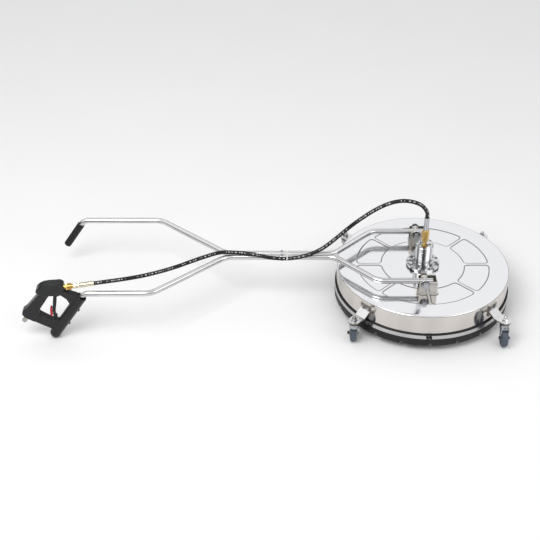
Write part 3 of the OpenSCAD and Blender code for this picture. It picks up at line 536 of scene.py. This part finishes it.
def bell_profile():
    """(radius, height from the top, whether it is on the top plate) round the sheet."""
    wall = DECK_TOP - shell_lo.z
    flat_r = DECK_R - EDGE_R
    radii = [HOLE_R + (FINE_R0 - HOLE_R) * i / COARSE_RINGS for i in range(COARSE_RINGS + 1)]
    radii += [FINE_R0 + FINE_STEP * i for i in range(1, FINE_RINGS)]
    radii += [FINE_R1 + (flat_r - FINE_R1) * i / COARSE_RINGS for i in range(COARSE_RINGS + 1)]
    outer = [(r, 0.0, True) for r in radii]
    for i in range(1, 9):
        t = math.pi / 2 * i / 8
        outer.append((flat_r + EDGE_R * math.sin(t), -EDGE_R + EDGE_R * math.cos(t), False))
    outer += [(DECK_R, -EDGE_R - (wall - EDGE_R) * i / 10, False) for i in range(1, 11)]
    inner_r = DECK_R - SHEET
    inner = [(inner_r, -wall, False), (inner_r, -wall / 2, False), (inner_r, -EDGE_R, False),
             (flat_r, -SHEET, False)]
    inner += [(r, -SHEET, True) for r in reversed(radii[:-1:3])]
    return outer + inner


def add_bell():
    """The bell's sheet with pressed panels, and an attribute of painted shade at their edges.
    """
    profile = bell_profile()
    bm = bmesh.new()
    shade_line = bm.verts.layers.float.new("shade_line")
    rows = []
    for i in range(BELL_SIDES):
        a = 2 * math.pi * i / BELL_SIDES
        row = []
        for r, h, top in profile:
            # The dark value is painted shade, along the panels' edges and just under the
            # rounded rim.
            drop = dark = 0.0
            if top:
                edge = panel_edge_distance(r, a) / PANEL_SLOPE
                drop = PANEL_DEPTH * smoothstep(edge + 0.5)
                dark = PANEL_SHADE_LINE * smoothstep(1.25 - abs(edge) * 1.7)
            elif -EDGE_R < h < -0.75 * EDGE_R:
                dark = RIM_SHADE_LINE
            vert = bm.verts.new(deck(0, 0, 0) + around(r, a, DECK_TOP + h - drop))
            vert[shade_line] = dark
            row.append(vert)
        rows.append(row)
    grid_faces(bm, rows)
    bell = link("bell_skin", bm, "deck", 50)
    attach(bell, "deck")
    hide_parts("deck_shell")


NOTCHES = 20
NOTCH_HALF, NOTCH_TALL, NOTCH_SLOPE = 0.009, 0.014, 0.004
SKIRT_T = 0.006
SKIRT_AIR = 0.0001  # between the skirt and the bell
BETWEEN_NOTCHES = 24
RING_LOW, RING_HIGH = 0.056, 0.066  # 10 mm under the bell's lower edge, and level with it


def skirt_profile(low, high):
    """Closed (radius, height) outline of the skirt where its lower edge is at low."""
    r_in, r_out = DECK_R + SKIRT_AIR, DECK_R + SKIRT_T
    return [(r_in, high), (r_out - 0.0014, high), (r_out - 0.0004, high - 0.0008),
            (r_out, high - 0.002), (r_out, RING_HIGH), (r_out, RING_LOW), (r_out, low + 0.002),
            (r_out - 0.0006, low + 0.0006), (r_out - 0.002, low), (r_in + 0.001, low),
            (r_in, low + 0.001), (r_in, RING_LOW)]


def add_skirt():
    """The rubber skirt, with a water notch in front and every 18 degrees from it."""
    lo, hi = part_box("rubber_skirt")
    r_out = DECK_R + SKIRT_T
    step = 2 * math.pi / NOTCHES
    e0, e1 = (NOTCH_HALF - NOTCH_SLOPE) / r_out, NOTCH_HALF / r_out
    near = 0.0012
    inside = [-e1, -e1 + near, -e0 - near, -e0, 0, e0, e0 + near, e1 - near, e1]
    outside = [e1 + (step - 2 * e1) * k / BETWEEN_NOTCHES for k in range(1, BETWEEN_NOTCHES)]
    bm = bmesh.new()
    rows = []
    for i in range(NOTCHES):
        for t in inside + outside:
            a = -math.pi / 2 + i * step + t
            off = (a + math.pi / 2 + step / 2) % step - step / 2
            rise = NOTCH_TALL * min(1, max(0, (NOTCH_HALF - abs(off) * r_out) / NOTCH_SLOPE))
            rows.append([bm.verts.new(deck(0, 0, 0) + around(r, a, h))
                         for r, h in skirt_profile(lo.z + rise, hi.z)])
    grid_faces(bm, rows)
    skirt = link("skirt_skin", bm, "rubber", 40)
    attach(skirt, "deck")
    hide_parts("rubber_skirt")


add_bell()
add_skirt()

# ------------------------------------------------------------------ CAD nodes: rounded edges

BEVEL_SEGMENTS = 2
BEVEL_ANGLE = 35

def soften(names, width):
    """Rounds every sharp edge by width."""
    for name in names:
        obj = NODES[name]
        obj.data.shade_smooth()
        bevel = obj.modifiers.new("edges", "BEVEL")
        bevel.width = width
        bevel.segments = BEVEL_SEGMENTS
        bevel.limit_method = "ANGLE"
        bevel.angle_limit = math.radians(BEVEL_ANGLE)
        bevel.use_clamp_overlap = True
        bevel.harden_normals = True


def mould(names, voxel, passes):
    """Rounds a moulded piece all over: voxels of one size, smoothed passes times."""
    for name in names:
        obj = NODES[name]
        obj.data.shade_smooth()
        remesh = obj.modifiers.new("voxels", "REMESH")
        remesh.mode = "VOXEL"
        remesh.voxel_size = voxel
        remesh.use_smooth_shade = True
        smooth = obj.modifiers.new("rounded", "SMOOTH")
        smooth.factor = 0.5
        smooth.iterations = passes


soften(["yoke_plate", "yoke_brackets", "swivel_flange", "swivel_housing", "swivel_cap",
        "flange_bolts", "pivot_bolts", "pivot_nuts", "pivot_washers", "caster_arms",
        "arm_bolts", "dome_nuts", "inlet_adapter", "hose_nut", "skirt_band", "band_screw",
        "joint_bolts", "gun_inlet", "rotor_hub"], 0.0006)
soften([f"fork_{k}" for k in CORNERS], 0.0007)
soften([f"wheel_{k}" for k in CORNERS], 0.0012)
mould(["gun_shell_near", "gun_shell_far"], 0.0011, 9)
mould(["trigger"], 0.0006, 5)
mould(["trigger_latch"], 0.0004, 4)
mould(["deck_ferrule"], 0.0006, 3)

# ------------------------------------------------------------------ gun outlet, grip

# millimetres from the bell's axis, as in the CAD
GUN_X = -1582.94
HORN_Y = -277
OUTLET_U, OUTLET_Z = 66, 262
GRIP_X, TUBE_Z = -1518, 228
CHAIN_YAW, CHAIN_RISE = math.radians(6), math.radians(4.8)
GRIP_SLOPE = math.radians(56)


def shaft(r0, h0, h1, chamfer=0.6, bore=3):
    """Closed profile, in millimetres, of a collar from h0 to h1 with chamfered corners."""
    return [(bore, h0), (r0 - chamfer, h0), (r0, h0 + chamfer), (r0, h1 - chamfer),
            (r0 - chamfer, h1), (bore, h1)]


def add_collars(name, look, body, collars):
    """A piece of collars in line from the gun's outlet, each a (profile, sides) in mm."""
    place = deck(GUN_X + OUTLET_U, HORN_Y, OUTLET_Z)
    turn = (Matrix.Rotation(CHAIN_YAW, 3, "Z")
            @ Matrix.Rotation(math.pi / 2 - CHAIN_RISE, 3, "Y"))
    bm = bmesh.new()
    for profile, sides in collars:
        lathe(bm, [(r / 1000, h / 1000) for r, h in profile], place, turn, sides)
    obj = link(name, bm, look, 30)
    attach(obj, body)
    return obj


HEXAGON, ROUND = 6, 32
KNURL_ROWS, KNURL_PITCH = 9, 1.7
CRIMPS = (73, 82, 91, 100, 109)


def add_outlet():
    """The knurled swivel, two hexagon nuts and the crimped ferrule of the gun's outlet."""
    knurl = []
    for i in range(KNURL_ROWS):
        h = 10 + i * KNURL_PITCH
        knurl += [(13.4, h), (14.4, h + 0.45), (14.4, h + 1.2)]
    collar = [(3, 9), (13, 9)] + knurl + [(13, 26), (3, 26)]
    brass = add_collars("outlet_coupler", "brass", "handle", [
        (shaft(6.5, -3, 2), ROUND), (shaft(14.4, 1.6, 8.6, 1.0), HEXAGON), (collar, 48),
        (shaft(9.2, 26.2, 34), ROUND)])
    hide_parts("outlet_fittings")
    ferrule = [(5, 64), (10.4, 64), (11, 65)]
    for h in CRIMPS:
        ferrule += [(11, h - 1.6), (10.1, h - 0.6), (10.1, h + 0.6), (11, h + 1.6)]
    ferrule += [(11, 118.2), (10.2, 119.4), (5, 119.4)]
    add_collars("outlet_ferrule", "yellow_zinc", "handle", [
        (shaft(13.6, 34.2, 46, 1.2), HEXAGON), (shaft(10.2, 46.2, 49.5), ROUND),
        (shaft(12.7, 49.7, 60, 1.2), HEXAGON), (shaft(8, 60.2, 64), ROUND), (ferrule, 40)])


GRIP_LOW, GRIP_HIGH = -0.158, -0.024  # along the grip's axis, from the horn's bend
GRIP_BORE, GRIP_R, GRIP_SWELL = 0.0126, 0.0153, 0.0008
GRIP_SIDES, GRIP_RINGS = 120, 150
STUD_START, STUD_END = 0.008, 0.126
STUDS_ROUND, STUD_PITCH, STUD_HEIGHT = 10, 0.012, 0.0006


def grip_radius(a, depth):
    """The grip's outer radius at angle a and depth below its upper end."""
    edge = min(1.0, depth / 0.002, (GRIP_HIGH - GRIP_LOW - depth) / 0.004)
    r = GRIP_R + GRIP_SWELL * max(0.0, edge) ** 0.5
    if STUD_START < depth < STUD_END:
        lead = 2 * math.pi * depth / STUD_PITCH
        phase = math.sin(STUDS_ROUND * a + lead) * math.sin(STUDS_ROUND * a - lead)
        r += STUD_HEIGHT * smoothstep(abs(phase) * 2.2 - 0.6) - 0.0002
    return r


def add_far_grip():
    """Moulded rubber grip with rows of small raised studs."""
    turn = Matrix.Rotation(math.pi / 2 - GRIP_SLOPE, 3, "Y")
    place = deck(GRIP_X, -HORN_Y, TUBE_Z)
    end = GRIP_LOW - 0.0002
    tip = 0.0008  # radius of the pinhole left on the axis, where the rings end
    closing = [(GRIP_BORE, end), (0.006, end), (tip, end), (tip, GRIP_LOW + 0.006),
               (GRIP_BORE, GRIP_LOW + 0.0075)]
    bm = bmesh.new()
    rows = []
    for i in range(GRIP_SIDES):
        a = 2 * math.pi * i / GRIP_SIDES
        profile = [(GRIP_BORE, GRIP_HIGH)]
        for k in range(GRIP_RINGS + 1):
            depth = (GRIP_HIGH - GRIP_LOW) * k / GRIP_RINGS
            profile.append((grip_radius(a, depth), GRIP_HIGH - depth))
        rows.append([bm.verts.new(place + turn @ around(r, a, h))
                     for r, h in profile + closing])
    grid_faces(bm, rows)
    grip = link("grip_skin", bm, "grip", 60)
    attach(grip, "handle")
    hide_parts("far_grip")


add_outlet()
add_far_grip()
